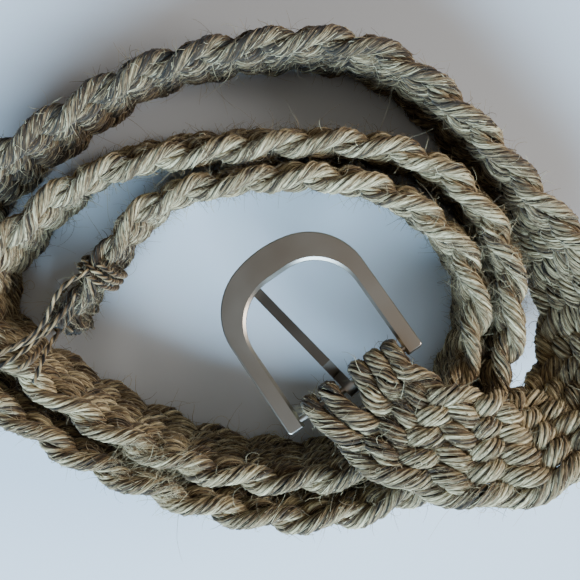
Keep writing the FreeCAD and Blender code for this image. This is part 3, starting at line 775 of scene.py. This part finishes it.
# Name, seed, number of hairs, shortest, longest, points, lift, curl, radius and shades.
LOOSE_FIBRES = [
    ("fibres_short_1", 21, 7000, 0.003, 0.009, 5, 0.9, 1.8, 0.00007, (0.1, 1.0)),
    ("fibres_short_2", 22, 7000, 0.002, 0.006, 5, 1.2, 1.6, 0.00008, (0.1, 1.0)),
    ("fibres_curled_1", 24, 4500, 0.003, 0.008, 8, 0.35, 5.0, 0.00011, (0.0, 0.4)),
    ("fibres_curled_2", 25, 4500, 0.003, 0.008, 8, 0.4, 5.5, 0.00011, (0.6, 1.0)),
    ("fibres_long", 23, 900, 0.008, 0.019, 11, 1.2, 4.5, 0.00007, (0.3, 1.0)),
]
for name, seed, count, *habit in LOOSE_FIBRES:
    add_fibres(name, seed, rings_anywhere(seed + 30, count), *habit)

# Shortest, longest, points, lift, curl and radius of the hairs where the ropes are rubbed.
FUZZ_HABIT = (0.003, 0.010, 8, 1.6, 4.0, 0.00006)
FUZZ_PLACE_SEED = 70
FUZZ_HAIR_SEED = 80

# Places where the ropes are rubbed most and their fibres stand up: centre, reach, number of
# hairs, and the darkest and lightest of their shades.
RUBBED_PLACES = [
    ((-0.008, 0.046, 0.034), 0.016, 500, (0.1, 0.6)),
    ((-0.048, -0.0588, 0.036), 0.007, 160, (0.6, 1.0)),
    ((-0.035, -0.0585, 0.036), 0.009, 320, (0.6, 1.0)),
    ((-0.033, -0.0665, 0.036), 0.006, 140, (0.6, 1.0)),
    ((0.067, -0.066, 0.047), 0.008, 160, (0.4, 0.9)),
    ((0.041, -0.037, 0.047), 0.007, 200, (0.1, 0.5)),
    ((-0.068, -0.012, 0.030), 0.014, 420, (0.2, 0.9)),
    ((0.062, -0.050, 0.046), 0.020, 700, (0.2, 1.0)),
    ((0.040, -0.050, 0.046), 0.016, 600, (0.0, 0.8)),
    ((0.072, 0.005, 0.045), 0.022, 700, (0.3, 1.0)),
]
for number, (place, reach, count, shades) in enumerate(RUBBED_PLACES):
    near = rings_near(place, reach)
    rings = np.random.default_rng(FUZZ_PLACE_SEED + number).choice(near, count)
    add_fibres("fuzz_%d" % (number + 1), FUZZ_HAIR_SEED + number, rings, *FUZZ_HABIT, shades)


# ---------------------------------------------------------------- the free end

TWINE_SPACING = 0.0006
TWINE_SIDES = 6
TWINE_UP = np.array([0.3, 0.2, 0.93])
TWINE_PLY_SHARE = 0.56
TWINE_PLY_WANDER = (8, 0.15)
TWINE_SHADE = 0.5
TWINE_SHADE_WANDER = (15, 0.3)
BINDING_TURNS = 2.5
BINDING_POINTS_PER_TURN = 12
BINDING_BACK_FROM_TIP = 0.028
BINDING_HALF_WIDE = 0.0159
BINDING_HALF_DEEP = 0.0068
BINDING_RISE = 0.0026
BINDING_SHOULDER_POWER = 0.7


def binding_route():
    """The twine's turns round the strap, just before its free end."""
    points = []
    for i in range(int(BINDING_TURNS * BINDING_POINTS_PER_TURN) + 1):
        turn = 2 * math.pi * i / BINDING_POINTS_PER_TURN
        distance = strap.length - BINDING_BACK_FROM_TIP
        distance += BINDING_RISE * i / BINDING_POINTS_PER_TURN
        middle, across, through = strap.at(distance)
        cos, sin = math.cos(turn), math.sin(turn)
        wide = math.copysign(abs(cos) ** BINDING_SHOULDER_POWER, cos) * BINDING_HALF_WIDE
        deep = math.copysign(abs(sin) ** BINDING_SHOULDER_POWER, sin) * BINDING_HALF_DEEP
        points.append(middle + across * wide + through * deep)
    return points


# The same points as the two CAD yarns.
TAILS = {
    "tail_yarn_long": [
        (-0.0715, -0.003, 0.016), (-0.0755, -0.0055, 0.011), (-0.0785, -0.0095, 0.005),
        (-0.079, -0.014, 0.0019), (-0.0765, -0.018, 0.0012),
    ],
    "tail_yarn_short": [
        (-0.0755, -0.021, 0.030), (-0.0755, -0.0225, 0.037), (-0.077, -0.026, 0.0405),
        (-0.081, -0.0285, 0.0406),
    ],
}


def add_twine(name, route, radius, plies, lay, seed):
    """A thin yarn along a route, its plies twisted round each other."""
    rng = np.random.default_rng(seed)
    line = spline_points(route, SPLINE_STEPS)
    length = distances(line)[-1]
    along = np.linspace(0, length, int(length / TWINE_SPACING))
    line = at_distances(line, line, along)
    tangent = unit(np.gradient(line, axis=0))
    side = unit(np.cross(tangent, TWINE_UP))
    rise = np.cross(side, tangent)
    ply_radius = radius * TWINE_PLY_SHARE
    paths = []
    outward = []
    for k in range(plies):
        angle = 2 * np.pi * (along / lay + k / plies)
        out = side * np.cos(angle)[:, None] + rise * np.sin(angle)[:, None]
        paths.append(line + out * (radius - ply_radius))
        outward.append(out)
    radii = ply_radius * (1 + wander(rng, plies, len(line), *TWINE_PLY_WANDER))
    tint = np.ones((plies, len(line), 3))
    tint[..., 0] = TWINE_SHADE + wander(rng, plies, len(line), *TWINE_SHADE_WANDER)
    mesh = tubes_mesh(name + "_twine", np.array(paths), radii, np.array(outward), TWINE_SIDES, tint)
    return add_piece(mesh.name, mesh, twine_material, "strap")


# Radius, number of plies and the length of one twist.
BINDING_TWINE = (0.0009, 2, 0.006)
TAIL_TWINE = (0.0011, 3, 0.008)
LOOSE_TWINE = (0.0009, 2, 0.009)
BINDING_SEED = 31
TAIL_SEED = 32
LOOSE_SEED = 41

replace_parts(add_twine("tip_binding", binding_route(), *BINDING_TWINE, BINDING_SEED), "tip_binding")
for number, (name, route) in enumerate(TAILS.items()):
    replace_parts(add_twine(name, route, *TAIL_TWINE, TAIL_SEED + number), name)

# Yarns that have come out of the plait past the binding and lie over the turn beside it.
LOOSE_YARNS = [
    [
        (-0.0600, 0.0025, 0.034), (-0.0665, -0.0005, 0.0375), (-0.0705, -0.0065, 0.0385),
        (-0.0735, -0.0145, 0.0385), (-0.0800, -0.0205, 0.0415), (-0.0900, -0.0245, 0.0430),
    ],
    [
        (-0.0640, -0.0050, 0.033), (-0.0690, -0.0125, 0.0355), (-0.0755, -0.0185, 0.0390),
        (-0.0835, -0.0225, 0.0425), (-0.0925, -0.0260, 0.0425),
    ],
    [
        (-0.0660, -0.0070, 0.030), (-0.0715, -0.0150, 0.0330), (-0.0770, -0.0205, 0.0375),
        (-0.0845, -0.0265, 0.0420), (-0.0915, -0.0300, 0.0410),
    ],
    [
        (-0.0650, -0.0095, 0.026), (-0.0705, -0.0170, 0.0290), (-0.0735, -0.0225, 0.0350),
        (-0.0745, -0.0275, 0.0395), (-0.0765, -0.0330, 0.0405),
    ],
]
for number, route in enumerate(LOOSE_YARNS):
    add_twine("loose_yarn_%d" % (number + 1), route, *LOOSE_TWINE, LOOSE_SEED + number)


# ---------------------------------------------------------------- the buckle's metal


def metal_material(name, colour, roughness):
    """Satin metal with a fine grain and a slightly uneven, handled surface."""
    material, nodes, links, shader = new_material(name)
    place = nodes.new("ShaderNodeTexCoord")
    grain = nodes.new("ShaderNodeTexNoise")
    grain.inputs["Scale"].default_value = 900
    grain.inputs["Detail"].default_value = 3
    links.new(place.outputs["Object"], grain.inputs["Vector"])
    wear = nodes.new("ShaderNodeTexNoise")
    wear.inputs["Scale"].default_value = 60
    wear.inputs["Detail"].default_value = 2
    links.new(place.outputs["Object"], wear.inputs["Vector"])
    spread = nodes.new("ShaderNodeMapRange")
    spread.inputs["From Min"].default_value = 0.3
    spread.inputs["From Max"].default_value = 0.7
    spread.inputs["To Min"].default_value = roughness - 0.03
    spread.inputs["To Max"].default_value = roughness + 0.04
    links.new(wear.outputs["Fac"], spread.inputs["Value"])
    links.new(spread.outputs["Result"], shader.inputs["Roughness"])
    shades = ramp(nodes, [(0.35, colour), (0.7, tuple(c * 1.08 for c in colour))])
    links.new(wear.outputs["Fac"], shades.inputs["Fac"])
    links.new(shades.outputs["Color"], shader.inputs["Base Color"])
    bump = nodes.new("ShaderNodeBump")
    bump.inputs["Strength"].default_value = 0.25
    bump.inputs["Distance"].default_value = 0.00004
    links.new(grain.outputs["Fac"], bump.inputs["Height"])
    links.new(bump.outputs["Normal"], shader.inputs["Normal"])
    shader.inputs["Metallic"].default_value = 1.0
    return material


frame_metal = metal_material("satin_steel", (0.44, 0.415, 0.375), 0.36)
prong_metal = metal_material("prong_steel", (0.27, 0.25, 0.225), 0.36)
for name, metal in (
    ("buckle_frame", frame_metal), ("heel_bar", frame_metal), ("prong", prong_metal)
):
    node_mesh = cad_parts[name].data
    node_mesh.materials.clear()
    node_mesh.materials.append(metal)


# ---------------------------------------------------------------- table and light

FLOOR_HALF = 5.0
FLOOR_COLOUR = (0.70, 0.775, 0.88, 1)
FLOOR_ROUGHNESS = 0.55

floor_mesh = bpy.data.meshes.new("table")
floor_mesh.from_pydata(
    [
        (-FLOOR_HALF, -FLOOR_HALF, 0),
        (FLOOR_HALF, -FLOOR_HALF, 0),
        (FLOOR_HALF, FLOOR_HALF, 0),
        (-FLOOR_HALF, FLOOR_HALF, 0),
    ],
    [],
    [(0, 1, 2, 3)],
)
floor = bpy.data.objects.new("table", floor_mesh)
scene.collection.objects.link(floor)
floor_material, _, _, floor_shader = new_material("table")
floor_shader.inputs["Base Color"].default_value = FLOOR_COLOUR
floor_shader.inputs["Roughness"].default_value = FLOOR_ROUGHNESS
floor.data.materials.append(floor_material)


def add_light(name, place, width, height, power, colour):
    """A rectangular light turned towards the middle of the coil."""
    light = bpy.data.lights.new(name, "AREA")
    light.shape = "RECTANGLE"
    light.size = width
    light.size_y = height
    light.energy = power
    light.color = colour
    lamp = bpy.data.objects.new(name, light)
    lamp.location = place
    lamp.rotation_euler = (-Vector(place)).to_track_quat("-Z", "Y").to_euler()
    scene.collection.objects.link(lamp)


add_light("window", (-0.26, -1.12, 0.80), 1.2, 0.8, 77, (0.56, 0.80, 1.0))
add_light("side", (1.35, 0.10, 0.62), 0.7, 0.5, 22, (1.0, 0.90, 0.80))
add_light("ceiling", (0.35, 0.25, 1.40), 1.2, 1.2, 2.4, (1.0, 0.84, 0.68))

world = bpy.data.worlds.new("world")
scene.world = world
world.use_nodes = True
sky = world.node_tree.nodes["Background"]
sky.inputs["Color"].default_value = (1.0, 0.88, 0.76, 1)
sky.inputs["Strength"].default_value = 0.045
